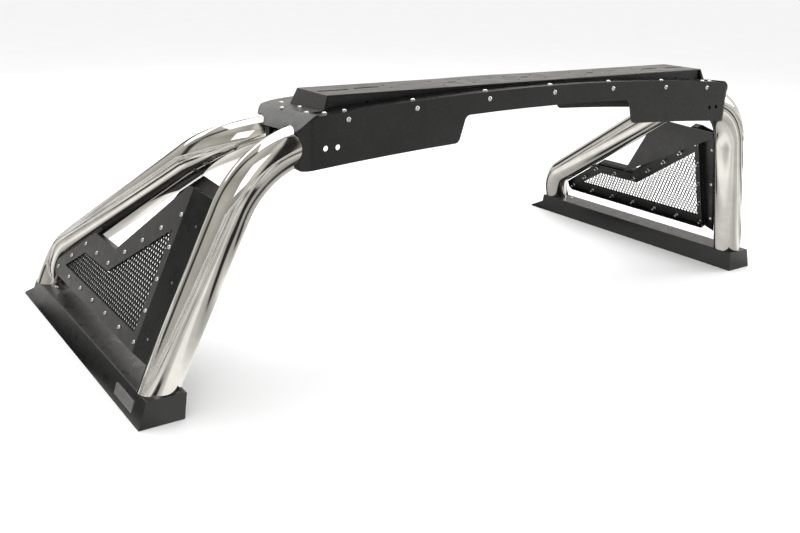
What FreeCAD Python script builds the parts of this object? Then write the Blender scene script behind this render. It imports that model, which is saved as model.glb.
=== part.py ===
import FreeCAD, Part
import math
import os
import re

import Sketcher
from FreeCAD import Placement, Rotation, Vector

# A pickup headache rack. X runs across the truck, -Y faces the cab, +Y the tailgate, and Z is up.
# The origin is under the middle of the rack, at the height of the bed rails.
# Every side piece is modelled on the right (+X) and mirrored for the left.

# ---------------------------------------------------------------- driving dimensions
DRIVING_SIZES = {
    # base covers that lie along the bed rails
    "front_edge": -391, "base_length": 853, "base_top_length": 788, "base_height": 56,
    "tail_step": 794, "tail_height": 32,
    "base_low_outer": 937, "base_low_inner": 845, "base_top_outer": 918, "base_top_inner": 838,
    "sheet": 3, "gasket_height": 3, "mount_plate_height": 6, "mount_plate_inner": 850,
    "mount_plate_outer": 928, "mount_plate_length": 740, "mount_hole_radius": 5.5,
    "mount_first": 170, "mount_spacing": 440, "mount_across": 889,
    # legs
    "tube_radius": 38.1, "tube_wall": 2.5, "leg_lean": 22, "foot_across": 878,
    "front_foot": 41.5, "front_rake": 0.144, "rear_foot": 762, "rear_slope": 1.695,
    "rear_foot_splay": 4, "rear_knee_height": 128, "rear_knee_radius": 130,
    "front_bend_radius": 195, "front_top_height": 523,
    "rear_bend_radius": 145, "rear_top_height": 517, "leg_end": 592, "socket_fit": 0.5, "notch_room": 3,
    # crossbar
    "bar_front": -462.5, "bar_depth": 248, "arch_radius": 7100, "crown": 598, "fall": 0.04,
    "deep_low": 500, "shallow_low": 555, "step_top": 243, "step_low": 260,
    "bar_end": 624, "bar_shoulder": 594, "bar_corner_height": 545, "bar_toe_height": 476,
    "end_round": 90,
    "front_corner": 25, "rear_corner": 100, "return_depth": 45, "ledge_depth": 55,
    "skin_start": 34.5, "skin_end": 586, "end_plate": 607, "light_hole_radius": 5.5,
    # platform on the crossbar
    "platform_top": 604, "platform_half": 546, "platform_flare": 14, "platform_start": 35.5,
    "platform_depth": 128, "platform_bevel": 6,
    # side panels, in the leaning plane of the legs
    "panel_out": 31, "panel_sheet": 2.5, "panel_wall": 18, "wing_tilt": 13,
    "wing_low_width": 62.5, "wing_top_width": 74, "wing_screw_low": 26, "wing_screw_top": 48.5,
    "gusset_out": -17, "standoff_radius": 8,
    # posts and plugs that tie the legs to the mount plates
    "post_width": 40, "post_length": 40, "plug_thickness": 8, "leg_bolt_radius": 6,
    "access_radius": 13, "post_bore": 26,
    # fasteners
    "head_radius": 5.2, "head_height": 3, "screw_radius": 3, "hole_radius": 3.3,
    "screw_line": 583, "ledge_screws": 17,
}

COVER_SCREW = 703
FRONT_SCREWS = (0, 183.7, 367.5, 524.5)
REAR_SCREWS = (0, 183.7, 367.5, 500)
LIGHT_HOLES = (547, 573)
# screws on top of the crossbar near its right end, as (across, depth behind the front face)
FLANGE_SCREW, CAP_FRONT_SCREW = (563, 23.5), (590, 42.5)
CAP_REAR_SCREW, BRIDGE_SCREWS = (594, 131.5), ((567.5, 108.5), (564.5, 190))
PANEL_SCREWS = (
    (144, 52), (233.5, 52), (323, 52), (412.5, 52), (502, 52), (591.5, 52), (681, 52),
    (137.5, 120.7), (131, 189.4), (124, 258), (117.5, 326.7),
    (185.7, 281.6), (253.8, 236.6), (322, 191.5), (390, 146.4), (470.5, 146.4),
    (551, 146.4), (616, 99.2),
)
PANEL_OUTLINE = (
    (137, 33), (690, 33), (702, 45), (702, 65), (517, 183), (375, 183), (124, 385), (103, 385),
)
MESH_OPENING = ((158, 68), (640, 68), (541, 128), (383, 130), (136, 292))
WING_SCREWS = (44, 170, 291)
RETAINER_OUTLINE = (
    (139.5, 41), (698, 41), (690, 60), (563, 158), (400, 160), (125, 340), (111.5, 340),
)
GUSSET_OUTLINE = ((388, 193), (264, 353), (180, 406), (26, 397), (28, 380))
STANDOFFS = ((137, 353), (190, 315))

doc = FreeCAD.newDocument("HeadacheRack")
sheet = doc.addObject("Spreadsheet::Sheet", "Sizes")
for row, (alias, value) in enumerate(DRIVING_SIZES.items(), start=1):
    sheet.set(f"A{row}", alias)
    sheet.set(f"B{row}", str(value))
    sheet.setAlias(f"B{row}", alias)
doc.recompute()

nodes = []


# ---------------------------------------------------------------- helpers
def linked(expression):
    """Turn the bare aliases of an expression into references to the sheet."""
    return re.sub(
        "[a-z_]+",
        lambda word: f"Sizes.{word[0]}" if word[0] in DRIVING_SIZES else word[0],
        str(expression))


def number(expression):
    return float(sheet.evalExpression(linked(expression)))


def arch(crown, across):
    """Height, at a distance across, of an arch whose middle has the height crown."""
    return f"{crown} - arch_radius + sqrt( arch_radius ^ 2 - ( {across} ) ^ 2 )"


def origin_plane(body, role):
    return next(item for item in body.Origin.OriginFeatures if item.Role == role)


def new_body(name, base=None, rotation=None, keep=True):
    body = doc.addObject("PartDesign::Body", name)
    body.Label = name
    if rotation is not None:
        body.Placement = Placement(Vector(), rotation)
    for axis, expression in (base or {}).items():
        body.setExpression(f"Placement.Base.{axis}", linked(expression))
    if keep:
        nodes.append(body)
    return body


def new_sketch(body, name, plane, offset="0"):
    sketch = body.newObject("Sketcher::SketchObject", name)
    sketch.AttachmentSupport = [(origin_plane(body, plane), "")]
    sketch.MapMode = "FlatFace"
    sketch.setExpression("AttachmentOffset.Base.z", linked(offset))
    return sketch


def fix_point(sketch, edge, end, point):
    """Tie one end of an edge to a pair of expressions."""
    for kind, expression in zip(("DistanceX", "DistanceY"), point):
        index = sketch.addConstraint(Sketcher.Constraint(kind, edge, end, number(expression)))
        if isinstance(expression, str):
            sketch.setExpression(f"Constraints[{index}]", linked(expression))


def closed_outline(sketch, points, arcs=None):
    """Closed outline through points; arcs maps an edge's number to (radius, bulge side)."""
    arcs = arcs or {}
    first = sketch.GeometryCount
    places = [Vector(number(across), number(up), 0) for across, up in points]
    for index, start in enumerate(places):
        finish = places[(index + 1) % len(places)]
        if index in arcs:
            radius, side = number(arcs[index][0]), arcs[index][1]
            chord = finish - start
            rise = radius - math.sqrt(radius ** 2 - (chord.Length / 2) ** 2)
            normal = Vector(-chord.y, chord.x, 0).normalize() * side
            middle = (start + finish) * 0.5 + normal * rise
            sketch.addGeometry(Part.Arc(start, middle, finish), False)
        else:
            sketch.addGeometry(Part.LineSegment(start, finish), False)
    for index, point in enumerate(points):
        edge = first + index
        following = first + (index + 1) % len(points)
        forward = index not in arcs or starts_at(sketch, edge, places[index])
        ahead = (index + 1) % len(points) not in arcs or starts_at(
            sketch, following, places[(index + 1) % len(points)])
        sketch.addConstraint(Sketcher.Constraint(
            "Coincident", edge, 2 if forward else 1, following, 1 if ahead else 2))
        fix_point(sketch, edge, 1 if forward else 2, point)
        if index in arcs:
            radius = arcs[index][0]
            ring = sketch.addConstraint(Sketcher.Constraint("Radius", edge, number(radius)))
            sketch.setExpression(f"Constraints[{ring}]", linked(radius))


def starts_at(sketch, edge, place):
    return (sketch.getPoint(edge, 1) - place).Length < 1e-4


def add_circle(sketch, centre, radius):
    place = Vector(number(centre[0]), number(centre[1]), 0)
    edge = sketch.addGeometry(Part.Circle(place, Vector(0, 0, 1), number(radius)), False)
    fix_point(sketch, edge, 3, centre)
    ring = sketch.addConstraint(Sketcher.Constraint("Radius", edge, number(radius)))
    sketch.setExpression(f"Constraints[{ring}]", linked(radius))


def add_slot(sketch, centre, half_length, radius):
    """Straight slot along the sketch's X axis."""
    across, up = (number(value) for value in centre)
    ends = []
    for side in (-1, 1):
        middle = Vector(across + side * half_length, up, 0)
        top, low = middle + Vector(0, radius, 0), middle - Vector(0, radius, 0)
        ends.append((top, middle + Vector(side * radius, 0, 0), low))
    for top, tip, low in ends:
        sketch.addGeometry(Part.Arc(top, tip, low), False)
    sketch.addGeometry(Part.LineSegment(ends[0][0], ends[1][0]), False)
    sketch.addGeometry(Part.LineSegment(ends[0][2], ends[1][2]), False)


def pad(body, sketch, length, reversed_=False):
    feature = body.newObject("PartDesign::Pad", f"{body.Name}_pad")
    feature.Profile = sketch
    feature.Reversed = reversed_
    feature.setExpression("Length", linked(length))
    doc.recompute()
    return feature


def pocket(body, sketch, length=None, reversed_=False, both_sides=False):
    """Cut a sketch out of the body, through everything when no length is given."""
    before = body.Shape.Volume
    feature = body.newObject("PartDesign::Pocket", f"{body.Name}_pocket")
    feature.Profile = sketch
    feature.Reversed = reversed_
    feature.Midplane = both_sides or length is None
    if length is None:
        feature.Type = "ThroughAll"
    else:
        feature.setExpression("Length", linked(length))
    doc.recompute()
    if body.Shape.Volume > before - 1:
        raise RuntimeError(f"a pocket in {body.Name} cuts nothing")
    return feature


def round_edges(body, radius, wanted):
    """Fillet every edge of the body's tip for which wanted(edge) is true."""
    tip = body.Tip
    names = [f"Edge{i}" for i, edge in enumerate(tip.Shape.Edges, start=1) if wanted(edge)]
    if not names:
        raise RuntimeError(f"no edges to round on {body.Name}")
    fillet = body.newObject("PartDesign::Fillet", f"{body.Name}_fillet")
    fillet.Base = (tip, names)
    fillet.Radius = radius
    doc.recompute()
    return fillet


def part_feature(name, shape, keep=True):
    feature = doc.addObject("Part::Feature", name)
    feature.Shape = shape
    feature.Label = name
    if keep:
        nodes.append(feature)
    return feature


def fused(name, shapes):
    whole = doc.addObject("Part::MultiFuse", name)
    whole.Shapes = shapes
    doc.recompute()
    return whole


def mirrored(source, name, keep=True):
    twin = doc.addObject("Part::Mirroring", name)
    twin.Source = source
    twin.Normal = Vector(1, 0, 0)
    twin.Label = name
    if keep:
        nodes.append(twin)
    return twin


def leaning():
    """Rotation of the leg plane: local X runs rearward, Y up the slope and Z outward."""
    lean = math.radians(number("leg_lean"))
    up = Vector(-math.sin(lean), 0, math.cos(lean))
    out = Vector(math.cos(lean), 0, math.sin(lean))
    return Rotation(Vector(0, 1, 0), up, out, "ZXY")


LEG_PLANE = {"x": "foot_across", "y": "front_edge", "z": "base_height"}


def leaning_body(name):
    return new_body(name, LEG_PLANE, leaning())


def leaning_place(rearward, upward, outward):
    corner = Vector(number("foot_across"), number("front_edge"), number("base_height"))
    return corner + leaning().multVec(Vector(rearward, upward, outward))


# ---------------------------------------------------------------- base on the bed rail
def base_section(inset="0", low="0", top="base_height"):
    """Trapezoid across the base, as seen from the front."""
    rise = "( base_low_outer - base_top_outer ) / base_height"
    inner_rise = "( base_low_inner - base_top_inner ) / base_height"
    return (
        (f"base_low_inner - {inner_rise} * ( {low} ) + {inset}", low),
        (f"base_low_outer - {rise} * ( {low} ) - {inset}", low),
        (f"base_low_outer - {rise} * ( {top} ) - {inset}", top),
        (f"base_low_inner - {inner_rise} * ( {top} ) + {inset}", top),
    )


def rear_ramp(sketch, drop="0"):
    """Region behind the stepped and sloping rear end, seen from the side."""
    closed_outline(sketch, (
        (f"base_length - {drop}", "-10"), ("base_length + 40", "-10"),
        ("base_length + 40", "base_height + 20"), (f"base_top_length - {drop}", "base_height + 20"),
        (f"base_top_length - {drop}", "base_height"), (f"tail_step - {drop}", "tail_height"),
        (f"base_length - {drop}", "4"),
    ))


def make_base_cover():
    shell = new_body("cover_solid", {"y": "front_edge"}, keep=False)
    outline = new_sketch(shell, "cover_section", "XZ_Plane")
    closed_outline(outline, base_section())
    pad(shell, outline, "base_length", reversed_=True)
    ramp = new_sketch(shell, "cover_ramp", "YZ_Plane")
    rear_ramp(ramp)
    pocket(shell, ramp)
    round_edges(shell, 2, is_long_top_edge)
    hollow = new_body("cover_hollow", {"y": "front_edge"}, keep=False)
    section = new_sketch(hollow, "hollow_section", "XZ_Plane", "-sheet")
    closed_outline(section, base_section("sheet", "-5", "base_height - sheet"))
    pad(hollow, section, "base_length", reversed_=True)
    ramp = new_sketch(hollow, "hollow_ramp", "YZ_Plane")
    rear_ramp(ramp, "( sheet + 1 )")
    pocket(hollow, ramp)
    return boolean("Part::Cut", "cover_shell", shell, hollow, keep=False)


def is_long_top_edge(edge):
    box = edge.BoundBox
    level = abs(box.ZMin - number("base_height")) < 0.01 and box.ZLength < 0.01
    return level and box.YLength > 300


def drilled(solid, name, holes):
    """Cut upright round holes through a solid; holes maps a radius to its places."""
    pins = []
    for radius, places in holes.items():
        for across, along in places:
            pin = doc.addObject("Part::Cylinder", f"{name}_hole_{len(pins)}")
            pin.setExpression("Radius", linked(radius))
            pin.Height = 100
            pin.Placement.Base = Vector(across, along, -10)
            pins.append(pin)
    tool = doc.addObject("Part::MultiFuse", f"{name}_holes")
    tool.Shapes = pins
    return boolean("Part::Cut", name, solid, tool)


def mount_places():
    across = number("mount_across")
    first = number("front_edge + mount_first")
    return [(across, first), (across, first + number("mount_spacing"))]


def cover_screw_place():
    return number("foot_across") + 15, number("front_edge") + COVER_SCREW


def foot_places():
    across = number("foot_across")
    return [(across - 3, number("front_edge + front_foot")),
            (across, number("front_edge + rear_foot") - 6)]


# ---------------------------------------------------------------- legs
def rounded_path(points, radii):
    """Wire of straight runs joined by tangent arcs at the inner points."""
    edges = []
    start = points[0]
    for before, corner, after, radius in zip(points, points[1:], points[2:], radii):
        back = (before - corner).normalize()
        ahead = (after - corner).normalize()
        half_turn = (math.pi - back.getAngle(ahead)) / 2
        reach = radius * math.tan(half_turn)
        enter, leave = corner + back * reach, corner + ahead * reach
        bisector = (back + ahead).normalize()
        middle = corner + bisector * (radius / math.cos(half_turn) - radius)
        edges.append(Part.LineSegment(start, enter).toShape())
        edges.append(Part.Arc(enter, middle, leave).toShape())
        start = leave
    edges.append(Part.LineSegment(start, points[-1]).toShape())
    return Part.Wire(edges)


def leg_paths():
    """Centre lines of both legs, from below the base top to inside the crossbar."""
    lean = math.tan(math.radians(number("leg_lean")))
    foot_x, foot_z = number("foot_across"), number("base_height")
    front_y, rear_y = number("front_edge + front_foot"), number("front_edge + rear_foot")
    rake, slope = number("front_rake"), number("rear_slope")
    splay, knee_z = number("rear_foot_splay"), number("rear_knee_height")
    inside = number("bar_end") - 120

    def front(height):
        rise = height - foot_z
        return Vector(foot_x - lean * rise, front_y - rake * rise, height)

    def rear(height):
        rise = height - foot_z
        behind = rear_y - slope * max(0, height - knee_z)
        return Vector(foot_x + splay - lean * rise, behind, height)

    front_top, rear_top = front(number("front_top_height")), rear(number("rear_top_height"))
    front_bend, rear_bend = number("front_bend_radius"), number("rear_bend_radius")
    knee = number("rear_knee_radius")
    return {
        "front": rounded_path(
            [front(foot_z - 30), front_top, Vector(inside, front_top.y, front_top.z)],
            [front_bend]),
        "rear": rounded_path(
            [rear(foot_z - 30), rear(knee_z), rear_top, Vector(inside, rear_top.y, rear_top.z)],
            [knee, rear_bend]),
    }


def swept(spine, name, radius):
    """Round bar that follows a spine."""
    path = spine.Shape
    start = path.OrderedVertexes[0].Point
    direction = path.OrderedEdges[0].tangentAt(path.OrderedEdges[0].FirstParameter)
    ring = doc.addObject("Part::Circle", f"{name}_ring")
    ring.setExpression("Radius", linked(radius))
    ring.Placement = Placement(start, Rotation(Vector(0, 0, 1), direction))
    sweep = doc.addObject("Part::Sweep", f"{name}_sweep")
    sweep.Sections = [ring]
    sweep.Spine = (spine, [f"Edge{i}" for i in range(1, len(path.Edges) + 1)])
    sweep.Solid = True
    sweep.Frenet = False
    doc.recompute()
    return sweep


def block(name, low_corner, sizes):
    """Box from expressions for its low corner and its sizes."""
    box = doc.addObject("Part::Box", name)
    for prop, expression in zip(("Length", "Width", "Height"), sizes):
        box.setExpression(prop, linked(expression))
    for axis, expression in zip("xyz", low_corner):
        box.setExpression(f"Placement.Base.{axis}", linked(expression))
    return box


def boolean(kind, name, first, second, keep=True):
    """Part::Cut or Part::Common of two objects."""
    result = doc.addObject(kind, name)
    result.Base, result.Tool = first, second
    result.Label = name
    doc.recompute()
    if keep:
        nodes.append(result)
    return result


def make_legs():
    """Both legs and the short sockets that hold their upper ends."""
    room = block("leg_room", ("leg_end", "-600", "base_height"), ("500", "1200", "900"))
    slab = block("socket_room", ("leg_end", "-600", "300"),
                 ("end_plate - sheet - leg_end", "1200", "600"))
    legs, clearances, cores = [], [], []
    for name, path in leg_paths().items():
        spine = part_feature(f"{name}_spine", path, keep=False)
        outer = swept(spine, f"{name}_outer", "tube_radius")
        inner = swept(spine, f"{name}_inner", "tube_radius - tube_wall")
        wide = swept(spine, f"{name}_wide", "tube_radius + socket_fit")
        sleeve = swept(spine, f"{name}_sleeve", "tube_radius + socket_fit + sheet")
        tube = boolean("Part::Cut", f"{name}_tube", outer, inner, keep=False)
        legs.append(boolean("Part::Common", f"{name}_leg_right", tube, room))
        ring = boolean("Part::Cut", f"{name}_ring_bar", sleeve, wide, keep=False)
        legs.append(boolean("Part::Common", f"{name}_leg_socket_right", ring, slab))
        clearances.append(wide)
        cores.append(inner)
    return legs, clearances, cores


def make_foot(name, core, centre):
    """Post under a leg and the plug inside the leg's end."""
    across, along = centre
    low = number("gasket_height + mount_plate_height")
    top = number("base_height")
    width, length = number("post_width"), number("post_length")
    radius = number("leg_bolt_radius")
    solid = Part.makeBox(width, length, top - number("sheet") - low,
                         Vector(across - width / 2, along - length / 2, low))
    shank = Part.makeCylinder(radius + 0.5, 120, Vector(across, along, low))
    access = Part.makeCylinder(number("access_radius"), number("post_bore"),
                               Vector(across, along, low))
    post = part_feature(f"{name}_post_right", solid.cut(shank).cut(access))
    thickness = number("plug_thickness")
    slab = Part.makeBox(200, 200, thickness, Vector(across - 100, along - 100, top))
    bore = Part.makeCylinder(radius, 60, Vector(across, along, top - 20))
    plug = part_feature(f"{name}_plug_right", core.Shape.common(slab).cut(bore))
    return post, plug


def make_leg_bolts():
    """Bolts from inside the posts up into the plugs."""
    radius = number("leg_bolt_radius") - 0.2
    seat = number("gasket_height + mount_plate_height + post_bore")
    tip = number("base_height + plug_thickness") + 2
    bolts = []
    for across, along in foot_places():
        shank = Part.makeCylinder(radius, tip - seat, Vector(across, along, seat))
        head = hexagon(19, 7.5, Vector(across, along, seat - 7.5))
        bolts.append(shank.fuse(head).removeSplitter())
    return part_feature("leg_bolts_right", Part.makeCompound(bolts))


def hexagon(across_flats, height, low_centre):
    """Hexagonal prism standing on its low centre."""
    corner = across_flats / math.sqrt(3)
    ring = [low_centre + Vector(corner * math.cos(math.radians(60 * k)),
                                corner * math.sin(math.radians(60 * k)), 0) for k in range(7)]
    return Part.Face(Part.makePolygon(ring)).extrude(Vector(0, 0, height))


# ---------------------------------------------------------------- fasteners
def make_button_screw(name, grip):
    """Button-head screw: its head above the origin plane, its shank below."""
    body = doc.addObject("PartDesign::Body", name)
    profile = new_sketch(body, f"{name}_profile", "XZ_Plane")
    closed_outline(profile, (
        ("0", "head_height"), ("0", f"-{grip}"), ("screw_radius", f"-{grip}"),
        ("screw_radius", "0"), ("head_radius", "0"), ("head_radius", "0.6"),
        ("2.6", "head_height"),
    ), {5: ("4", -1)})
    turn = body.newObject("PartDesign::Revolution", f"{name}_turn")
    turn.Profile = profile
    turn.ReferenceAxis = (profile, ["V_Axis"])
    turn.Angle = 360
    doc.recompute()
    socket = new_sketch(body, f"{name}_socket", "XY_Plane", "head_height")
    corners = [(f"{2 * math.cos(math.radians(60 * k)):.4f}",
                f"{2 * math.sin(math.radians(60 * k)):.4f}") for k in range(6)]
    closed_outline(socket, corners)
    pocket(body, socket, "1.6")
    return body


def make_nut(name):
    """Hexagon nut that hangs below the origin plane."""
    body = doc.addObject("PartDesign::Body", name)
    sketch = new_sketch(body, f"{name}_outline", "XY_Plane")
    corners = [(f"{5.77 * math.cos(math.radians(60 * k)):.4f}",
                f"{5.77 * math.sin(math.radians(60 * k)):.4f}") for k in range(6)]
    closed_outline(sketch, corners)
    add_circle(sketch, ("0", "0"), "screw_radius + 0.2")
    pad(body, sketch, "5", reversed_=True)
    return body


def copies(name, master, placements):
    """Identical fasteners in one node, each a solid of its own."""
    solids = []
    for placement in placements:
        solid = master.Shape.copy()
        solid.Placement = placement.multiply(solid.Placement)
        solids.append(solid)
    return part_feature(name, Part.makeCompound(solids))


def aimed(place, direction):
    return Placement(place, Rotation(Vector(0, 0, 1), direction))


# ---------------------------------------------------------------- side panel
def polygon_sketch(body, name, points, offset="0"):
    sketch = new_sketch(body, name, "XY_Plane", offset)
    closed_outline(sketch, points)
    return sketch


def grown(points, distance):
    """Outline moved outward by a distance, its sides staying parallel."""
    face = Part.Face(Part.makePolygon([Vector(x, y, 0) for x, y in points + points[:1]]))
    wire = face.makeOffset2D(distance, 2).OuterWire
    return tuple((vertex.X, vertex.Y) for vertex in wire.OrderedVertexes)


def screw_holes(body, name):
    sketch = new_sketch(body, name, "XY_Plane", "panel_out")
    for across, up in PANEL_SCREWS:
        add_circle(sketch, (across, up), "hole_radius")
    return sketch


def make_panel_frame():
    frame = leaning_body("panel_frame_right")
    outline = polygon_sketch(frame, "frame_outline", PANEL_OUTLINE, "panel_out - panel_wall")
    pad(frame, outline, "panel_wall")
    round_edges(frame, 4, is_square_to_panel)
    tray = polygon_sketch(frame, "frame_tray", grown(PANEL_OUTLINE, -number("panel_sheet")),
                          "panel_out - panel_wall")
    pocket(frame, tray, "panel_wall - panel_sheet", reversed_=True)
    opening = polygon_sketch(frame, "frame_opening", MESH_OPENING, "panel_out")
    pocket(frame, opening)
    pocket(frame, screw_holes(frame, "frame_screw_holes"))
    return frame


def is_square_to_panel(edge):
    """Straight edges that run along a body's own Z axis, or along the leaning one."""
    if edge.Curve.TypeId != "Part::GeomLine":
        return False
    out = leaning().multVec(Vector(0, 0, 1))
    along = edge.Curve.Direction
    return abs(along.dot(out)) > 1 - 1e-6 or abs(along.z) > 1 - 1e-6


def make_mesh():
    mesh = leaning_body("panel_mesh_right")
    outline = polygon_sketch(mesh, "mesh_outline", grown(MESH_OPENING, 5),
                             "panel_out - panel_sheet - 2")
    pad(mesh, outline, "2")
    return mesh


def make_retainer():
    """Flat ring behind the mesh, held by the panel's screws."""
    retainer = leaning_body("mesh_retainer_right")
    outline = polygon_sketch(retainer, "retainer_outline", RETAINER_OUTLINE,
                             "panel_out - panel_sheet - 4")
    pad(retainer, outline, "2")
    opening = polygon_sketch(retainer, "retainer_opening", MESH_OPENING, "panel_out")
    pocket(retainer, opening)
    pocket(retainer, screw_holes(retainer, "retainer_holes"))
    return retainer


def wing_placement():
    """Frame of the wing: local Y runs up the fold, and the wing lies towards -X."""
    (low_x, low_y), (top_x, top_y) = PANEL_OUTLINE[0], PANEL_OUTLINE[-1]
    fold = Vector(top_x - low_x, top_y - low_y, 0)
    turn = Rotation(Vector(0, 1, 0), fold)
    tilt = Rotation(Vector(0, 1, 0), -number("wing_tilt"))
    corner = leaning_place(low_x - 0.4, low_y, number("panel_out - panel_sheet"))
    return Placement(corner, leaning().multiply(turn).multiply(tilt))


def make_wing():
    """Folded side flange that turns in from the frame's front edge towards the front leg."""
    wing = new_body("panel_wing_right")
    wing.Placement = wing_placement()
    length = fold_length()
    outline = polygon_sketch(wing, "wing_outline", (
        ("0", "0"), ("0", f"{length}"), ("- wing_top_width", f"{length}"),
        ("- wing_low_width", "0")))
    pad(wing, outline, "panel_sheet")
    holes = new_sketch(wing, "wing_holes", "XY_Plane", "panel_sheet")
    for along in WING_SCREWS:
        add_circle(holes, wing_screw(along), "hole_radius")
    pocket(wing, holes)
    return wing


def fold_length():
    (low_x, low_y), (top_x, top_y) = PANEL_OUTLINE[0], PANEL_OUTLINE[-1]
    return math.hypot(top_x - low_x, top_y - low_y)


def wing_screw(along):
    """Place on the wing of a screw at a distance up the fold."""
    low, top = number("wing_screw_low"), number("wing_screw_top")
    return -low - (top - low) * along / fold_length(), along


def make_wing_strip():
    """Narrow stiffener on the wing's inner face, under the wing's screws."""
    strip = new_body("wing_strip_right")
    strip.Placement = wing_placement()
    (low_x, low), (high_x, high) = wing_screw(12), wing_screw(fold_length() - 12)
    outline = polygon_sketch(strip, "wing_strip_outline", (
        (low_x + 8, low), (high_x + 8, high), (high_x - 8, high), (low_x - 8, low)), "-3")
    pad(strip, outline, "3")
    holes = new_sketch(strip, "wing_strip_holes", "XY_Plane", "0")
    for along in WING_SCREWS:
        add_circle(holes, wing_screw(along), "hole_radius")
    pocket(strip, holes)
    return strip


def make_gusset():
    gusset = leaning_body("leg_gusset_right")
    outline = polygon_sketch(gusset, "gusset_outline", GUSSET_OUTLINE, "gusset_out - sheet")
    pad(gusset, outline, "sheet")
    return gusset


def make_standoffs():
    """Round spacers welded between the gusset and the panel frame."""
    low, high = number("gusset_out"), number("panel_out - panel_sheet")
    out = leaning().multVec(Vector(0, 0, 1))
    spacers = [
        Part.makeCylinder(number("standoff_radius"), high - low, leaning_place(x, y, low), out)
        for x, y in STANDOFFS]
    return part_feature("panel_standoffs_right", Part.makeCompound(spacers))


# ---------------------------------------------------------------- crossbar
def crown_at(depth, lift="0"):
    """Height of the sloping top, at a depth behind the crossbar's front face."""
    return f"crown + {lift} - fall * ( {depth} )"


def bar_outline(depth):
    """Front view of a plate at a depth: deep ends, a shallow middle and an arched top.

    The top stops a little below the crown, inside the flange that is added there.
    """
    half = (
        ("step_top", arch("shallow_low", "step_top")),
        ("step_low", arch("deep_low", "step_low")),
        ("bar_end - 4", arch("deep_low", "bar_end - 4")),
        ("bar_end", "bar_toe_height"),
        ("bar_end", f"bar_corner_height - fall * {depth}"),
        ("bar_shoulder", arch(crown_at(depth, "( 0 - 1 )"), "bar_shoulder")),
    )
    arcs = {
        1: ("arch_radius", 1), 4: ("end_round", -1), 5: ("arch_radius", -1),
        6: ("end_round", -1), 9: ("arch_radius", 1), 11: ("arch_radius", 1),
    }
    return half + other_side(half)[::-1], arcs


def bar_body(name, keep=True):
    return new_body(name, {"y": "bar_front"}, keep=keep)


def is_step_corner(edge):
    """Edges of the plates that run fore and aft at the steps under the arch."""
    box = edge.BoundBox
    across = abs(abs(box.Center.x) - number("step_top")) < 20
    return box.XLength < 0.01 and box.ZLength < 0.01 and across and box.Center.z < 570


def add_arch_strip(body, name, crown, half, depth, length):
    """Strip of sheet under an arched crown, between -half and +half, that falls rearward."""
    sketch = new_sketch(body, name, "XZ_Plane", f"- ( {depth} )")
    low = f"{crown} - sheet"
    closed_outline(sketch, (
        (f"- ( {half} )", arch(low, half)), (half, arch(low, half)),
        (half, arch(crown, half)), (f"- ( {half} )", arch(crown, half)),
    ), {0: ("arch_radius", 1), 2: ("arch_radius", -1)})
    return falling_pad(body, sketch, length)


def falling_pad(body, sketch, length):
    feature = pad(body, sketch, length)
    feature.UseCustomVector = True
    feature.Direction = Vector(0, 1, -number("fall"))
    feature.AlongSketchNormal = True
    doc.recompute()
    return feature


def other_side(points):
    """The same points on the other side of the middle."""
    return tuple((f"- ( {across} )", up) for across, up in points)


def plan_strip(front, corner, run):
    """Plan of a plate with rounded ends; front is the face's depth and run the way inward."""
    bend = f"{front} + {run} * {corner}"
    back = f"{bend} + {run} * ( return_depth - front_corner )"
    middle = f"bar_end - {corner}"
    outer = (("bar_end", back), ("bar_end", bend), (middle, front))
    inner = (("bar_end - sheet", back), ("bar_end - sheet", bend),
             (middle, f"{front} + {run} * sheet"))
    outline = outer + other_side(outer)[::-1] + other_side(inner) + inner[::-1]
    inner_corner = f"{corner} - sheet"
    return outline, {1: (corner, run), 3: (corner, run),
                     7: (inner_corner, -run), 9: (inner_corner, -run)}


def make_bar_plate(name, front, corner, run, ledge):
    """Front or rear plate: a bent strip trimmed to the outline, with a flange on top."""
    plate = bar_body(f"{name}_sheet", keep=False)
    plan = new_sketch(plate, f"{name}_plan", "XY_Plane", "470")
    points, arcs = plan_strip(front, corner, run)
    closed_outline(plan, points, arcs)
    pad(plate, plan, "140")
    trim = new_sketch(plate, f"{name}_trim", "XZ_Plane")
    points, arcs = bar_outline(front)
    closed_outline(trim, points, arcs)
    reach, low, high = "bar_end + 60", "430", "660"
    closed_outline(trim, ((f"- ( {reach} )", low), (reach, low), (reach, high),
                          (f"- ( {reach} )", high)))
    pocket(plate, trim)
    round_edges(plate, 14, is_step_corner)
    start, length, half = ledge
    add_arch_strip(plate, f"{name}_ledge", crown_at(start), half, start, length)
    return plate


def screw_height(across, depth):
    """Height of the row of screws along the front or the rear plate."""
    return f"screw_line - fall * ( {depth} ) - ( {across} ) ^ 2 / ( 2 * arch_radius )"


def drill_face(plate, depth, screws, lights=()):
    """Round holes through the front or rear plate."""
    sketch = new_sketch(plate, f"{plate.Name}_drilling", "XZ_Plane", f"- ( {depth} )")
    for across in both_ways(screws):
        add_circle(sketch, (str(across), screw_height(across, depth)), "hole_radius")
    for across in both_ways(lights):
        add_circle(sketch, (str(across), "513.5"), "light_hole_radius")
    pocket(plate, sketch, "4 * sheet", both_sides=True)


def drill_top(body, places):
    """Upright round holes, down through whatever the body has at each place."""
    sketch = new_sketch(body, f"{body.Name}_top_drilling", "XY_Plane", "620")
    for across, depth in places:
        add_circle(sketch, (str(across), str(depth)), "hole_radius")
    pocket(body, sketch, "70")


def both_ways(values):
    """Each value on both sides of the middle, in order."""
    return sorted({-value for value in values} | set(values))


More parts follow.
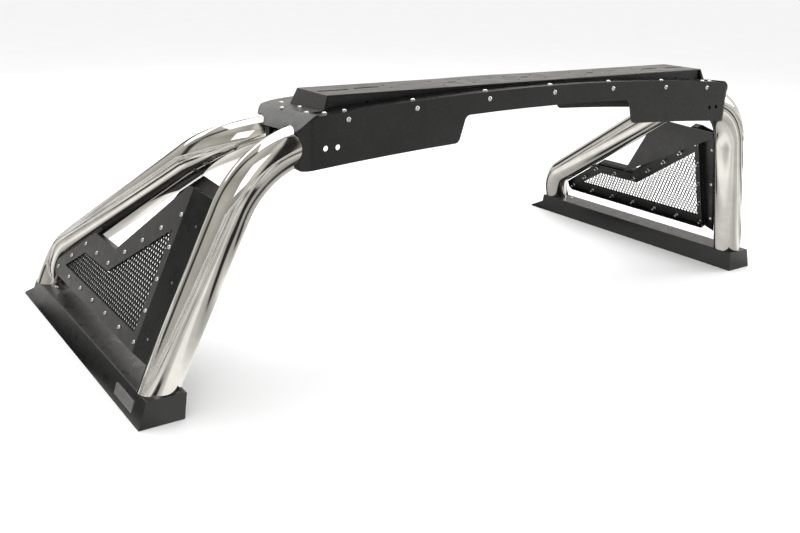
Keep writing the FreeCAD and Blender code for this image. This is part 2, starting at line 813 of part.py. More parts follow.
def make_skin():
    skin = bar_body("top_skin")
    crown = crown_at("skin_start", "sheet")
    add_arch_strip(skin, "skin_arch", crown, "skin_end", "skin_start",
                   "bar_depth - skin_start")
    plan = new_sketch(skin, "skin_plan", "XY_Plane", "520")
    corner = "( rear_corner + 1 )"
    middle = f"( bar_end + sheet - {corner} )"
    side = f"bar_depth - {corner} + sqrt( {corner} ^ 2 - ( skin_end - {middle} ) ^ 2 )"
    for sign in (1, -1):
        closed_outline(plan, (
            (f"{sign} * {middle}", "bar_depth"), (f"{sign} * skin_end", side),
            (f"{sign} * ( skin_end + 9 )", side),
            (f"{sign} * ( skin_end + 9 )", "bar_depth + 9"),
            (f"{sign} * {middle}", "bar_depth + 9"),
        ), {0: (corner, sign)})
    pocket(skin, plan, "120", reversed_=True)
    drill_top(skin, [(sign * x, depth) for x, depth in BRIDGE_SCREWS for sign in (1, -1)])
    return skin


def leg_notches():
    """Round bars across the end of the crossbar where the legs pass its bevel."""
    end = number("bar_end")
    wall = Part.makeBox(9, 1200, 900, Vector(end, -600, 0)).Faces[0]
    bars = []
    for name, path in leg_paths().items():
        crossing = path.distToShape(wall)[1][0][0]
        bar = doc.addObject("Part::Cylinder", f"{name}_notch")
        bar.setExpression("Radius", linked("tube_radius + notch_room"))
        bar.Height = 80
        bar.Placement = Placement(crossing - Vector(40, 0, 0), Rotation(Vector(0, 1, 0), 90))
        bars.append(bar)
    return fused("leg_notches", bars)


def make_end_cap():
    """Folded cover over the end of the crossbar: a strip of the top and a bevel."""
    cap = bar_body("end_cap_sheet", keep=False)
    section = new_sketch(cap, "cap_section", "XZ_Plane")
    edge, over = "skin_end + 0.5", "bar_shoulder + 0.2 * sheet"
    closed_outline(section, (
        (edge, arch("crown", edge)), ("bar_shoulder", arch("crown", "bar_shoulder")),
        ("bar_end", "bar_corner_height"), ("bar_end + sheet", "bar_corner_height"),
        (over, arch("crown + sheet", over)), (edge, arch("crown + sheet", edge)),
    ), {1: ("end_round", 1), 3: ("end_round + sheet", -1)})
    falling_pad(cap, section, "bar_depth")
    plan = new_sketch(cap, "cap_plan", "XY_Plane", "520")
    end = "bar_end + sheet"
    for corner, face, run in (("front_corner + 1", "0", 1), ("rear_corner + 1", "bar_depth", -1)):
        closed_outline(plan, (
            (f"{end} - ( {corner} )", f"{face} - {run} * 9"), (f"{end} + 9", f"{face} - {run} * 9"),
            (f"{end} + 9", f"{face} + {run} * ( {corner} )"),
            (end, f"{face} + {run} * ( {corner} )"),
            (f"{end} - ( {corner} )", face),
        ), {3: (corner, run)})
    pocket(cap, plan, "120", reversed_=True)
    drill_top(cap, (CAP_FRONT_SCREW, CAP_REAR_SCREW))
    return boolean("Part::Cut", "end_cap_right", cap, leg_notches())


def make_end_bridge():
    """Strip under the joint between the top skin and the end cap."""
    bridge = bar_body("end_bridge_right")
    section = new_sketch(bridge, "bridge_section", "XZ_Plane", "- ( ledge_depth + 4 )")
    crown = crown_at("ledge_depth + 4")
    near, far = "skin_end - 26", "skin_end + 14"
    closed_outline(section, (
        (near, arch(f"{crown} - sheet", near)), (far, arch(f"{crown} - sheet", far)),
        (far, arch(crown, far)), (near, arch(crown, near)),
    ))
    falling_pad(bridge, section, "140")
    drill_top(bridge, (CAP_REAR_SCREW, *BRIDGE_SCREWS))
    return bridge


def make_end_plate(holes):
    """Upright plate inside the end of the crossbar, with a hole for each leg."""
    plate = bar_body("end_plate_solid", keep=False)
    outline = new_sketch(plate, "end_plate_outline", "YZ_Plane", "end_plate - sheet")
    top = arch("crown", "end_plate")
    closed_outline(outline, (
        ("sheet + 3", "bar_toe_height - 3"), ("bar_depth - 75", "bar_toe_height - 3"),
        ("bar_depth - 75", f"{top} - 5 - fall * ( bar_depth - 75 )"), ("sheet + 3", f"{top} - 5"),
    ))
    pad(plate, outline, "sheet")
    return boolean("Part::Cut", "end_plate_right", plate, holes)


def make_platform():
    """Flat-topped tray that stands on the arch and carries lights or cargo bars."""
    platform = bar_body("platform_tray", keep=False)
    section = new_sketch(platform, "platform_section", "XZ_Plane", "- platform_start")
    foot = "( platform_half + platform_flare )"
    closed_outline(section, (
        (f"- {foot}", "platform_top - 34"), (foot, "platform_top - 34"),
        ("platform_half", "platform_top"), ("- platform_half", "platform_top"),
    ))
    pad(platform, section, "platform_depth", reversed_=True)
    for name, start, tilt in (("front", "platform_start", 1),
                              ("rear", "( platform_start + platform_depth )", -1)):
        side = new_sketch(platform, f"platform_{name}_bevel", "YZ_Plane")
        closed_outline(side, (
            (start, "platform_top - 28"), (f"{start} + {tilt} * platform_bevel", "platform_top"),
            (f"{start} + {tilt} * platform_bevel", "platform_top + 5"),
            (f"{start} - {tilt} * 5", "platform_top + 5"),
            (f"{start} - {tilt} * 5", "platform_top - 28"),
        ))
        pocket(platform, side)
    round_edges(platform, 1.5, is_platform_rim)
    inner = new_sketch(platform, "platform_inside", "XZ_Plane",
                       "- ( platform_start + platform_bevel + sheet )")
    inside = f"( {foot} - 2 * sheet )"
    closed_outline(inner, (
        (f"- {inside}", "560"), (inside, "560"),
        ("platform_half - sheet", "platform_top - sheet"),
        ("- ( platform_half - sheet )", "platform_top - sheet"),
    ))
    pocket(platform, inner, "platform_depth - 2 * ( platform_bevel + sheet )", reversed_=True)
    pierce_platform(platform)
    below = bar_body("platform_seat", keep=False)
    seat = new_sketch(below, "seat_section", "XZ_Plane", "- ( platform_start - 5 )")
    crown = crown_at("platform_start - 5", "sheet + 0.2")
    reach = "( platform_half + 40 )"
    closed_outline(seat, (
        (f"- {reach}", "540"), (reach, "540"), (reach, arch(crown, reach)),
        (f"- {reach}", arch(crown, reach)),
    ), {2: ("arch_radius", -1)})
    falling_pad(below, seat, "platform_depth + 10")
    return boolean("Part::Cut", "top_platform", platform, below)


def pierce_platform(platform):
    """Slots and small round holes in the platform's top, and two pairs in its front."""
    slots = new_sketch(platform, "platform_slots", "XY_Plane", "platform_top")
    middle = "platform_start + platform_depth / 2"
    for side in (-1, 1):
        add_slot(slots, (f"{side * 421}", f"{middle} + 2"), 25, 4.5)
        add_slot(slots, (f"{side * 503}", f"{middle} - 6"), 30, 4.5)
        for dy in (-16, 16):
            add_circle(slots, (f"{side * 372}", f"{middle} + {dy}"), "hole_radius")
    for across in (-207, 0, 207):
        add_slot(slots, (str(across), middle), 8, 3.5)
        for dx, dy in ((-40, -26), (40, -26), (-40, 26), (40, 26)):
            add_circle(slots, (str(across + dx), f"{middle} + {dy}"), "hole_radius")
    pocket(platform, slots, "8")
    front = new_sketch(platform, "platform_front_holes", "XZ_Plane", "- platform_start")
    for across, height in ((322, "591"), (455, "585")):
        for side in (-1, 1):
            add_circle(front, (str(side * across), height), "hole_radius")
    pocket(platform, front, "16")


def is_platform_rim(edge):
    box = edge.BoundBox
    return abs(box.ZMin - number("platform_top")) < 0.01 and box.ZLength < 0.01


def bar_place(across, depth, height):
    return Vector(across, number("bar_front") + depth, height)


# ---------------------------------------------------------------- assembly
def build_base():
    """Cover, mount plate and gasket of the right base."""
    feet = foot_places()
    cover_holes = {"hole_radius": [cover_screw_place()], "leg_bolt_radius + 0.5": feet}
    plate_holes = {"mount_hole_radius": mount_places(), "access_radius": feet}
    width = "mount_plate_outer - mount_plate_inner"
    pieces = [drilled(make_base_cover(), "base_cover_right", cover_holes)]
    for name, low, height in (("rail_gasket", "0", "gasket_height"),
                              ("mount_plate", "gasket_height", "mount_plate_height")):
        slab = block(f"{name}_slab", ("mount_plate_inner", "front_edge + 20", low),
                     (width, "mount_plate_length", height))
        pieces.append(drilled(slab, f"{name}_right", plate_holes))
    return pieces


def build_panel(screw, nut, wing_screw_master):
    """Frame, mesh and everything that carries them between the right legs."""
    pieces = [make_panel_frame(), make_mesh(), make_retainer(), make_wing(),
              make_wing_strip(), make_gusset(), make_standoffs()]
    lean = leaning()
    out = lean.multVec(Vector(0, 0, 1))
    face, back = number("panel_out"), number("panel_out - panel_sheet - 4")
    heads = [aimed(leaning_place(x, y, face), out) for x, y in PANEL_SCREWS]
    hexes = [aimed(leaning_place(x, y, back), out) for x, y in PANEL_SCREWS]
    pieces.append(copies("panel_screws_right", screw, heads))
    pieces.append(copies("panel_nuts_right", nut, hexes))
    wing = wing_placement()
    inward = wing.Rotation.multVec(Vector(0, 0, -1))
    places = [wing.multVec(Vector(*wing_screw(along), -3)) for along in WING_SCREWS]
    pieces.append(copies("wing_screws_right", wing_screw_master,
                         [aimed(place, inward) for place in places]))
    return pieces


def build_crossbar(screw, clearances):
    """Everything between the legs; returns the pieces of the right end."""
    holes = fused("leg_clearances", clearances)
    both_holes = fused("all_leg_clearances", [holes, mirrored(holes, "left_clearances", False)])
    front = make_bar_plate("front_plate", "0", "front_corner", 1,
                           ("0", "ledge_depth", "bar_shoulder - 4"))
    drill_face(front, "0", FRONT_SCREWS, LIGHT_HOLES)
    row = [(x, number("ledge_screws")) for x in both_ways(FRONT_SCREWS)]
    ends = [(sign * x, depth) for x, depth in (FLANGE_SCREW, CAP_FRONT_SCREW)
            for sign in (1, -1)]
    drill_top(front, row + ends)
    boolean("Part::Cut", "front_plate", front, both_holes)
    rear = make_bar_plate("rear_plate", "bar_depth", "rear_corner", -1,
                          ("bar_depth - 40", "40", "bar_end - rear_corner - 4"))
    drill_face(rear, "bar_depth", REAR_SCREWS)
    boolean("Part::Cut", "rear_plate", rear, both_holes)
    make_skin()
    make_platform()
    for name, screws, depth, way in (("front_screws", FRONT_SCREWS, 0, -1),
                                     ("rear_screws", REAR_SCREWS, "bar_depth", 1)):
        copies(name, screw, [
            aimed(bar_place(x, number(str(depth)), number(screw_height(x, depth))),
                  Vector(0, way, 0)) for x in both_ways(screws)])
    copies("ledge_screws", screw, [on_top(x, depth, "0") for x, depth in row])
    right_end = [make_end_cap(), make_end_bridge(), make_end_plate(holes)]
    cap_screws = [on_top(x, depth, "sheet")
                  for x, depth in (CAP_FRONT_SCREW, CAP_REAR_SCREW, *BRIDGE_SCREWS)]
    cap_screws.append(on_top(*FLANGE_SCREW, "0"))
    on_base = Vector(*cover_screw_place(), number("base_height"))
    cap_screws.append(Placement(on_base, Rotation()))
    right_end.append(copies("cover_screws_right", screw, cap_screws))
    return right_end


def on_top(across, depth, lift):
    """Placement of a screw that stands square on the crossbar's arched, sloping top."""
    height = number(arch(crown_at(str(depth), lift), str(across)))
    slope = Vector(across / number("arch_radius"), number("fall"), 1)
    return aimed(bar_place(across, depth, height), slope)


def make_badge():
    """Blank plate stuck to the outer face of the left cover."""
    rise = number("base_height")
    run = number("base_low_outer - base_top_outer")
    outward = Vector(-rise, 0, run).normalize()
    upward = Vector(run, 0, rise).normalize()
    foot = Vector(-number("base_low_outer"), number("front_edge"), 0)
    plate = Part.makeBox(100, 24, 1.5)
    plate = plate.makeFillet(3, [edge for edge in plate.Edges if edge.BoundBox.ZLength > 1])
    badge = part_feature("badge_plate_left", plate)
    place = foot + Vector(0, 149, 0) + upward * 15
    badge.Placement = Placement(place, Rotation(Vector(0, -1, 0), upward, outward, "ZXY"))
    return badge


right_pieces = build_base()
leg_pieces, leg_clearances, leg_cores = make_legs()
right_pieces += leg_pieces
for leg_name, leg_core, foot_place in zip(("front", "rear"), leg_cores, foot_places()):
    right_pieces += make_foot(leg_name, leg_core, foot_place)
right_pieces.append(make_leg_bolts())
panel_screw = make_button_screw("panel_screw", 22)
plain_nut = make_nut("plain_nut")
right_pieces += build_panel(panel_screw, plain_nut, make_button_screw("wing_screw", 5))
right_pieces += build_crossbar(make_button_screw("cover_screw", 8), leg_clearances)
make_badge()
for piece in right_pieces:
    mirrored(piece, piece.Label.replace("_right", "_left"))
doc.recompute()

# ---------------------------------------------------------------- checks and export
for item in doc.Objects:
    if "Invalid" in item.State or "Error" in item.State:
        raise RuntimeError(f"{item.Name} failed: {item.State}")
os.makedirs("parts", exist_ok=True)
for node in nodes:
    shape = node.Shape
    if shape.isNull() or not shape.isValid():
        raise RuntimeError(f"{node.Label} has no valid shape")
    shape.exportStep(f"parts/{node.Label}.step")
    print(f"{node.Label:28s} {len(shape.Solids)} solids  {shape.Volume / 1000:10.1f} cm3")
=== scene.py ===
import math

import bmesh
import bpy
from mathutils import Matrix, Vector
from mathutils.bvhtree import BVHTree


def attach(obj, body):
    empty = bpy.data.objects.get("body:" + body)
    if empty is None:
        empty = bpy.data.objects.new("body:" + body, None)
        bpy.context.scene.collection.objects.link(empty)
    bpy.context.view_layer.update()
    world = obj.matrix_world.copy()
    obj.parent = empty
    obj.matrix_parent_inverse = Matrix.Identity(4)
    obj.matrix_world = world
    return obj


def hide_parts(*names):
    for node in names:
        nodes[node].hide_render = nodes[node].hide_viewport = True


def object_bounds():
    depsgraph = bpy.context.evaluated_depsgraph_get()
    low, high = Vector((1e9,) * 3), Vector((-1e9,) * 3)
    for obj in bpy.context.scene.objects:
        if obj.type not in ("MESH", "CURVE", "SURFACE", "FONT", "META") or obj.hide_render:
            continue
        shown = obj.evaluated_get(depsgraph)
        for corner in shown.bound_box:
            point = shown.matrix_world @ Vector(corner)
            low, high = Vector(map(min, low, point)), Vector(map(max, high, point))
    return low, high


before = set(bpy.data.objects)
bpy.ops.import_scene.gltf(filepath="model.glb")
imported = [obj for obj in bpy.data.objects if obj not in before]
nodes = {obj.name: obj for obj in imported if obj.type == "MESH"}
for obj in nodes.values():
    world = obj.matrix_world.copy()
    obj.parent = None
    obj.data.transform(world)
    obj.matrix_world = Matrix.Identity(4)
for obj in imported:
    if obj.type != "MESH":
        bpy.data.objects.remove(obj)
cad_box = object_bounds()
scene = bpy.context.scene

# ---------------------------------------------------------------- camera
# metres and degrees, in the part's frame, solved from the photograph
CAMERA_PLACE = Vector((-1.4003, -1.8751, 0.8489))
CAMERA_YAW = math.radians(35.34)     # from +Y towards +X
CAMERA_PITCH = math.radians(-18.98)
CAMERA_ROLL = math.radians(1.57)
LENS_MM = 40.31
SENSOR_MM = 36.0
VIEW_DISTANCE = 200

camera_data = bpy.data.cameras.new("camera")
camera_data.lens = LENS_MM
camera_data.sensor_width = SENSOR_MM
camera_data.clip_end = VIEW_DISTANCE
camera = bpy.data.objects.new("camera", camera_data)
scene.collection.objects.link(camera)
turn = (Matrix.Rotation(-CAMERA_YAW, 4, "Z")
        @ Matrix.Rotation(math.pi / 2 + CAMERA_PITCH, 4, "X")
        @ Matrix.Rotation(CAMERA_ROLL, 4, "Z"))
camera.matrix_world = Matrix.Translation(CAMERA_PLACE) @ turn
scene.camera = camera
scene.view_settings.view_transform = "Standard"


# ---------------------------------------------------------------- materials
class Finish:
    """A material under construction, with short calls for the nodes used here."""

    def __init__(self, name):
        self.material = bpy.data.materials.new(name)
        self.material.use_nodes = True
        self.tree = self.material.node_tree
        self.shader = self.tree.nodes["Principled BSDF"]
        self.place = self.tree.nodes.new("ShaderNodeTexCoord").outputs["Object"]

    def node(self, kind, inputs=None, **settings):
        made = self.tree.nodes.new(kind)
        for name, value in settings.items():
            setattr(made, name, value)
        for socket, value in (inputs or {}).items():
            if isinstance(value, bpy.types.NodeSocket):
                self.tree.links.new(value, made.inputs[socket])
            else:
                made.inputs[socket].default_value = value
        return made

    def stretched(self, scale):
        """The object's coordinates with each axis scaled."""
        return self.node("ShaderNodeMapping", {
            "Vector": self.place, "Scale": scale}).outputs[0]

    def noise(self, scale, detail=3.0, rough=0.55, stretch=None):
        """Noise from 0 to 1, mostly near 0.5; scale is in features per metre."""
        place = self.stretched(stretch) if stretch else self.place
        return self.node("ShaderNodeTexNoise", {
            "Vector": place, "Scale": scale, "Detail": detail, "Roughness": rough}).outputs["Fac"]

    def grains(self, scale):
        """Distance to the nearest grain's middle."""
        return self.node("ShaderNodeTexVoronoi", {
            "Vector": self.place, "Scale": scale}).outputs["Distance"]

    def spread(self, value, low, high, start=0.35, end=0.65):
        """The value's range start..end stretched to low..high, and held there outside."""
        return self.node("ShaderNodeMapRange", {
            "Value": value, "From Min": start, "From Max": end,
            "To Min": low, "To Max": high}).outputs[0]

    def mixed(self, factor, first, second):
        """Colour from first to second by the factor; each is a triple or a socket."""
        made = self.node("ShaderNodeMix", {"Factor": factor}, data_type="RGBA")
        for socket, colour in ((made.inputs[6], first), (made.inputs[7], second)):
            if isinstance(colour, bpy.types.NodeSocket):
                self.tree.links.new(colour, socket)
            else:
                socket.default_value = (*colour, 1)
        return made.outputs[2]

    def bump(self, height, distance, strength, below=None):
        """Normal for a relief of this depth in metres, over another normal."""
        inputs = {"Height": height, "Distance": distance, "Strength": strength}
        if below:
            inputs["Normal"] = below
        return self.node("ShaderNodeBump", inputs).outputs[0]

    def set(self, **values):
        """Shader inputs by name: a number, a socket, or a colour triple."""
        for name, value in values.items():
            socket = self.shader.inputs[name.replace("_", " ")]
            if isinstance(value, bpy.types.NodeSocket):
                self.tree.links.new(value, socket)
            elif isinstance(value, tuple):
                socket.default_value = (*value, 1)
            else:
                socket.default_value = value


DUST_COLOUR = (0.30, 0.30, 0.29)
DUST_SHARE = 0.10


def powder_coat(name, dark, pale, smooth, rough):
    """Satin black powder coat: fine orange peel, faint cloudiness and light dust."""
    look = Finish(name)
    cloud = look.noise(9, 4)
    peel = look.noise(620, 2)
    dust = look.spread(look.noise(2300, 1), 0, 1, 0.70, 0.78)
    base = look.mixed(look.spread(cloud, 0, 1), dark, pale)
    dusty = look.node("ShaderNodeMath", {0: dust, 1: DUST_SHARE}, operation="MULTIPLY").outputs[0]
    look.set(
        Base_Color=look.mixed(dusty, base, DUST_COLOUR),
        Roughness=look.spread(look.noise(34, 5), smooth, rough),
        Normal=look.bump(peel, 0.00022, 0.55))
    return look.material


def polished_tube(name):
    """Mirror-polished stainless tube with faint buffing lines and haze."""
    look = Finish(name)
    haze = look.noise(16, 5, 0.6)
    lines = look.noise(90, 4, 0.7, (1, 1, 10))
    waves = look.noise(7, 2)
    smooth = look.bump(waves, 0.0016, 0.35)
    look.set(
        Base_Color=look.mixed(look.spread(haze, 0, 1),
                              (0.74, 0.725, 0.69), (0.64, 0.625, 0.59)),
        Metallic=1.0,
        Roughness=look.spread(look.noise(42, 6, 0.7), 0.045, 0.11),
        Normal=look.bump(lines, 0.00002, 0.30, smooth))
    return look.material


def metal(name, bright, dull, smooth, rough, grain, depth):
    """Plain metal with fine grain and colour variation."""
    look = Finish(name)
    cloud = look.noise(60, 4)
    look.set(
        Base_Color=look.mixed(look.spread(cloud, 0, 1), bright, dull),
        Metallic=1.0,
        Roughness=look.spread(look.noise(240, 4), smooth, rough),
        Normal=look.bump(look.noise(grain, 3), depth, 0.5))
    return look.material


def rubber(name):
    """Black rubber with a pebbled surface."""
    look = Finish(name)
    cloud = look.noise(25, 4)
    look.set(
        Base_Color=look.mixed(look.spread(cloud, 0, 1),
                              (0.010, 0.010, 0.010), (0.028, 0.027, 0.026)),
        Roughness=look.spread(look.noise(70, 4), 0.62, 0.82),
        Normal=look.bump(look.grains(800), 0.0004, 0.5))
    return look.material


def brushed_badge(name):
    """Silver plate brushed along its length."""
    look = Finish(name)
    lines = look.noise(60, 6, 0.8, (18, 1, 18))
    look.set(
        Base_Color=look.mixed(look.spread(lines, 0, 1),
                              (0.62, 0.62, 0.61), (0.86, 0.86, 0.85)),
        Metallic=1.0,
        Roughness=look.spread(lines, 0.26, 0.42),
        Normal=look.bump(lines, 0.00008, 0.4))
    return look.material


# one finish for each material slot of the record
finishes = {
    "black_coat": powder_coat("satin_black_coat",
                              (0.0042, 0.0042, 0.0044), (0.0075, 0.0075, 0.0078), 0.25, 0.35),
    "mesh_black": powder_coat("mesh_coat",
                              (0.004, 0.004, 0.004), (0.008, 0.008, 0.008), 0.42, 0.55),
    "polished_steel": polished_tube("polished_stainless"),
    "bright_fastener": metal("bright_screw", (0.80, 0.80, 0.79), (0.66, 0.66, 0.65),
                             0.16, 0.30, 900, 0.0001),
    "plated_steel": metal("plated_steel", (0.62, 0.61, 0.58), (0.46, 0.45, 0.43),
                          0.26, 0.42, 700, 0.0001),
    "black_rubber": rubber("pebbled_rubber"),
    "badge_silver": brushed_badge("brushed_badge"),
}
for node in nodes.values():
    for slot in node.material_slots:
        slot.material = finishes[slot.material.name.split(".")[0]]


# ---------------------------------------------------------------- expanded metal, side panels
# metres
CELL_PITCH = 0.0115          # along a row
ROW_PITCH = 0.0098           # from row to row, up the slope
SHOULDER_SHARE = 0.41        # how far up a cell its straight sides reach, of the row pitch
STRAND = 0.0017              # a strand's width, shared by the cells on its two sides
STRAND_DEPTH = 0.0032        # through the sheet
STRAND_DROP = 0.70           # the strands fall by this much of their depth on the way out
PROBE_START = 0.02           # a test ray starts this far outside the sheet and is
PROBE_LENGTH = 0.03          # this long, so it meets the sheet and nothing behind it
WELD_DISTANCE = 0.0002       # corners this near become one


def sheet_frame(node):
    """Outward, rearward and upward directions of a flat CAD sheet, and its middle level."""
    largest = max(node.data.polygons, key=lambda face: face.area)
    outward = largest.normal.copy()
    if outward.x * largest.center.x < 0:
        outward.negate()
    rearward = Vector((0, 1, 0))
    upward = outward.cross(rearward)
    if upward.z < 0:
        upward.negate()
    levels = [vertex.co.dot(outward) for vertex in node.data.vertices]
    return outward, rearward, upward, (min(levels) + max(levels)) / 2


def cell_outline(inset):
    """Six corners of a cell, flat-sided along the rows, pulled in by an inset."""
    slope = (1 - 2 * SHOULDER_SHARE) * ROW_PITCH / (CELL_PITCH / 2)
    half_pitch = CELL_PITCH / 2 - inset
    tip = (1 - SHOULDER_SHARE) * ROW_PITCH - inset * math.hypot(1, slope)
    shoulder = tip - slope * half_pitch
    return [(half_pitch, shoulder), (0, tip), (-half_pitch, shoulder),
            (-half_pitch, -shoulder), (0, -tip), (half_pitch, -shoulder)]


def placed(mesh, material):
    """Object of the mesh's name in the scene, with one material."""
    mesh.materials.append(material)
    made = bpy.data.objects.new(mesh.name, mesh)
    scene.collection.objects.link(made)
    return made


def square(name, half_size, level):
    """Level square mesh round the frame's origin."""
    mesh = bpy.data.meshes.new(name)
    mesh.from_pydata([(x * half_size, y * half_size, level)
                      for x, y in ((-1, -1), (1, -1), (1, 1), (-1, 1))], [], [(0, 1, 2, 3)])
    return mesh


def expanded_metal(side):
    """Expanded metal in the outline and the plane of the CAD panel mesh."""
    node = nodes[f"panel_mesh_{side}"]
    outward, along, up, level = sheet_frame(node)
    tree = BVHTree.FromPolygons([vertex.co for vertex in node.data.vertices],
                                [tuple(face.vertices) for face in node.data.polygons])

    def inside(point):
        start = point + outward * PROBE_START
        return tree.ray_cast(start, -outward, PROBE_LENGTH)[0] is not None

    def extent(axis):
        values = [vertex.co.dot(axis) for vertex in node.data.vertices]
        return min(values), max(values)

    first_x, last_x = extent(along)
    first_y, last_y = extent(up)
    through = outward * STRAND_DEPTH - up * STRAND_DEPTH * STRAND_DROP
    origin = outward * level - through / 2
    built = bmesh.new()
    for row in range(int((last_y - first_y) / ROW_PITCH) + 1):
        for column in range(int((last_x - first_x) / CELL_PITCH) + 1):
            x = first_x + (column + 0.5 * (row % 2)) * CELL_PITCH
            y = first_y + row * ROW_PITCH
            rings = [[origin + along * (x + dx) + up * (y + dy)
                      for dx, dy in cell_outline(inset)] for inset in (0, STRAND / 2)]
            if not all(inside(point) for point in rings[0]):
                continue
            outer, hole = [[built.verts.new(point) for point in ring] for ring in rings]
            for step in range(6):
                following = (step + 1) % 6
                built.faces.new((outer[step], outer[following], hole[following], hole[step]))
    bmesh.ops.remove_doubles(built, verts=built.verts, dist=WELD_DISTANCE)
    grown = bmesh.ops.extrude_face_region(built, geom=built.faces[:], use_keep_orig=True)
    moved = [item for item in grown["geom"] if isinstance(item, bmesh.types.BMVert)]
    bmesh.ops.translate(built, verts=moved, vec=through)
    bmesh.ops.recalc_face_normals(built, faces=built.faces)
    mesh = bpy.data.meshes.new(f"expanded_metal_{side}")
    built.to_mesh(mesh)
    built.free()
    piece = placed(mesh, finishes["mesh_black"])
    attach(piece, "root")
    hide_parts(f"panel_mesh_{side}")


for side in ("left", "right"):
    expanded_metal(side)


# ---------------------------------------------------------------- floor, sky and lights
FLOOR_HALF = 60
FLOOR_COLOUR = (0.92, 0.92, 0.92)
FLOOR_UNEVENNESS = 0.985     # the darker patches, of the floor's colour
FLOOR_GAP = 0.0005           # the floor is this far under the object
CARD_HALF = 8
CARD_LIFT = 0.0002           # the card is this far over the floor


def matt_floor(name):
    """Pale matt floor, very slightly cloudy."""
    look = Finish(name)
    darker = tuple(FLOOR_UNEVENNESS * part for part in FLOOR_COLOUR)
    look.set(
        Base_Color=look.mixed(look.spread(look.noise(3, 3), 0, 1), FLOOR_COLOUR, darker),
        Roughness=0.9, Specular_IOR_Level=0.0)
    return look.material


floor_level = cad_box[0][2] - FLOOR_GAP
placed(square("floor", FLOOR_HALF, floor_level), matt_floor("pale_floor"))

# brightness of the studio round the object, by compass turn: 0.25 is -Y, 0.5 is +X, 0.75 is +Y
STUDIO_TURN = (
    (0.00, 0.62), (0.08, 0.50), (0.17, 0.44), (0.21, 0.80), (0.24, 0.75), (0.26, 0.03),
    (0.315, 0.03), (0.33, 0.50), (0.355, 0.45), (0.37, 0.02), (0.43, 0.02), (0.445, 0.85),
    (0.52, 1.00), (0.64, 0.95), (0.69, 0.80), (0.70, 0.04), (0.73, 0.04), (0.74, 0.70),
    (0.84, 0.52), (0.86, 0.05), (0.885, 0.05), (0.90, 0.62),
)
# brightness by height: the sine of the elevation, moved from -1..1 to 0..1
STUDIO_RISE = ((0.0, 0.55), (0.50, 0.80), (0.62, 1.00), (0.80, 0.75), (0.90, 1.10))
# brightness of the card under the object, by the value of its noise
CARD_STRIPES = (
    (0.0, 0.02), (0.40, 0.03), (0.425, 0.50), (0.50, 0.66), (0.57, 0.85), (0.62, 1.20),
)
WARM = (1.0, 0.985, 0.95)    # tint of every grey level in them
BAND_WAVINESS = 0.25


def ramp_node(tree, value, stops):
    """Colour by a value: a ramp of warm grey levels, one per stop."""
    ramp = tree.nodes.new("ShaderNodeValToRGB")
    for _ in range(len(stops) - 2):
        ramp.color_ramp.elements.new(0.5)
    for element, (position, level) in zip(ramp.color_ramp.elements, stops):
        element.position = position
        element.color = (*(level * part for part in WARM), 1)
    tree.links.new(value, ramp.inputs[0])
    return ramp.outputs[0]


def studio_bands(tree, place):
    """Bright and dark upright bands round the object, slightly uneven."""
    wobble = tree.nodes.new("ShaderNodeTexNoise")
    wobble.inputs["Scale"].default_value = 1.3
    tree.links.new(place, wobble.inputs["Vector"])
    uneven = tree.nodes.new("ShaderNodeVectorMath")
    uneven.operation = "MULTIPLY_ADD"
    tree.links.new(wobble.outputs["Color"], uneven.inputs[0])
    uneven.inputs[1].default_value = (BAND_WAVINESS, BAND_WAVINESS, 0)
    tree.links.new(place, uneven.inputs[2])
    turn_value = tree.nodes.new("ShaderNodeTexGradient")
    turn_value.gradient_type = "RADIAL"
    tree.links.new(uneven.outputs[0], turn_value.inputs["Vector"])
    return ramp_node(tree, turn_value.outputs["Fac"], STUDIO_TURN)


def mixed_colours(tree, factor, first, second, blend="MIX"):
    mix = tree.nodes.new("ShaderNodeMix")
    mix.data_type = "RGBA"
    mix.blend_type = blend
    for socket, value in ((mix.inputs[0], factor), (mix.inputs[6], first),
                          (mix.inputs[7], second)):
        if isinstance(value, bpy.types.NodeSocket):
            tree.links.new(value, socket)
        else:
            socket.default_value = value
    return mix.outputs[2]


def studio_world():
    """White world for the camera and for light, and the studio's bands for reflections."""
    world = bpy.data.worlds.new("studio")
    world.use_nodes = True
    sky = world.node_tree
    direction = sky.nodes.new("ShaderNodeTexCoord").outputs["Generated"]
    split = sky.nodes.new("ShaderNodeSeparateXYZ")
    sky.links.new(direction, split.inputs[0])
    rise = sky.nodes.new("ShaderNodeMapRange")
    rise.inputs["From Min"].default_value = -1
    sky.links.new(split.outputs["Z"], rise.inputs["Value"])
    by_height = ramp_node(sky, rise.outputs[0], STUDIO_RISE)
    lit_bands = mixed_colours(sky, 1.0, studio_bands(sky, direction), by_height, "MULTIPLY")
    path = sky.nodes.new("ShaderNodeLightPath")
    seen = mixed_colours(sky, path.outputs["Is Glossy Ray"], (1.0, 1.0, 1.0, 1), lit_bands)
    sky.links.new(seen, sky.nodes["Background"].inputs["Color"])
    return world


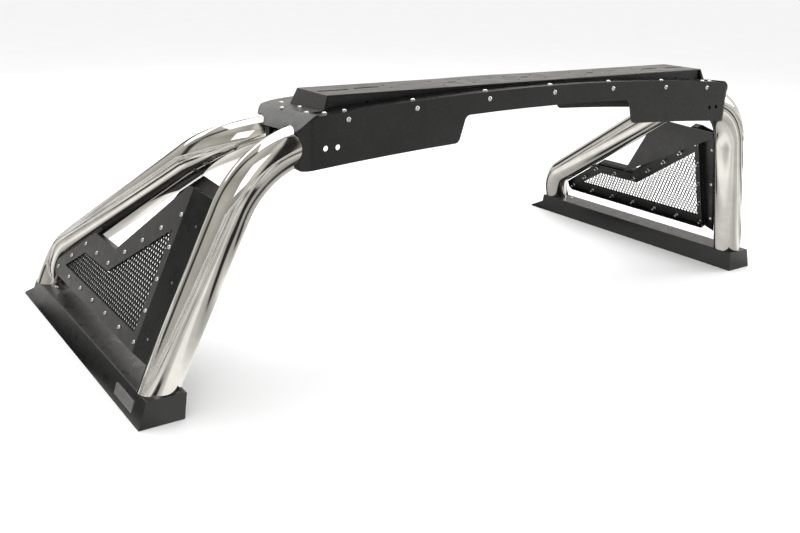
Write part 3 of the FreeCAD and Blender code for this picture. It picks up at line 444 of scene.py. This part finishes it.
def striped_glow(name):
    """Light in long, uneven bright and dark stripes."""
    material = bpy.data.materials.new(name)
    material.use_nodes = True
    tree = material.node_tree
    place = tree.nodes.new("ShaderNodeTexCoord").outputs["Object"]
    stripes = tree.nodes.new("ShaderNodeMapping")
    stripes.inputs["Scale"].default_value = (1.9, 0.6, 1)
    stripes.inputs["Rotation"].default_value = (0, 0, math.radians(-20))
    tree.links.new(place, stripes.inputs["Vector"])
    patches = tree.nodes.new("ShaderNodeTexNoise")
    patches.inputs["Scale"].default_value = 1.4
    patches.inputs["Detail"].default_value = 1.0
    tree.links.new(stripes.outputs[0], patches.inputs["Vector"])
    glow = tree.nodes.new("ShaderNodeEmission")
    tree.links.new(ramp_node(tree, patches.outputs["Fac"], CARD_STRIPES), glow.inputs["Color"])
    tree.links.new(glow.outputs[0], tree.nodes["Material Output"].inputs["Surface"])
    return material


def reflection_card():
    """Card just above the floor that only reflections see, so that polished metal shows the
    darker parts of a studio and not an endless white floor."""
    card = placed(square("reflection_card", CARD_HALF, floor_level + CARD_LIFT),
                  striped_glow("studio_card"))
    for ray in ("camera", "diffuse", "transmission", "volume_scatter", "shadow"):
        setattr(card, f"visible_{ray}", False)


scene.world = studio_world()
reflection_card()


def soft_light(name, place, target, size, power):
    """Rectangular light facing the target; metres and watts."""
    data = bpy.data.lights.new(name, "AREA")
    data.shape = "RECTANGLE"
    data.size, data.size_y = size
    data.energy = power
    lamp = bpy.data.objects.new(name, data)
    scene.collection.objects.link(lamp)
    lamp.location = place
    aim = Vector(target) - Vector(place)
    lamp.rotation_euler = aim.to_track_quat("-Z", "Y").to_euler()


soft_light("overhead", (0.2, 0.4, 3.2), (0, 0, 0.3), (4.0, 2.6), 60)
soft_light("front_left", (-2.6, -3.0, 2.2), (-0.2, 0, 0.3), (1.6, 2.2), 20)
soft_light("right_side", (3.4, -1.2, 1.8), (0.3, 0, 0.3), (1.2, 2.4), 40)
soft_light("behind", (-0.6, 3.6, 2.4), (0, 0, 0.3), (3.6, 1.6), 30)
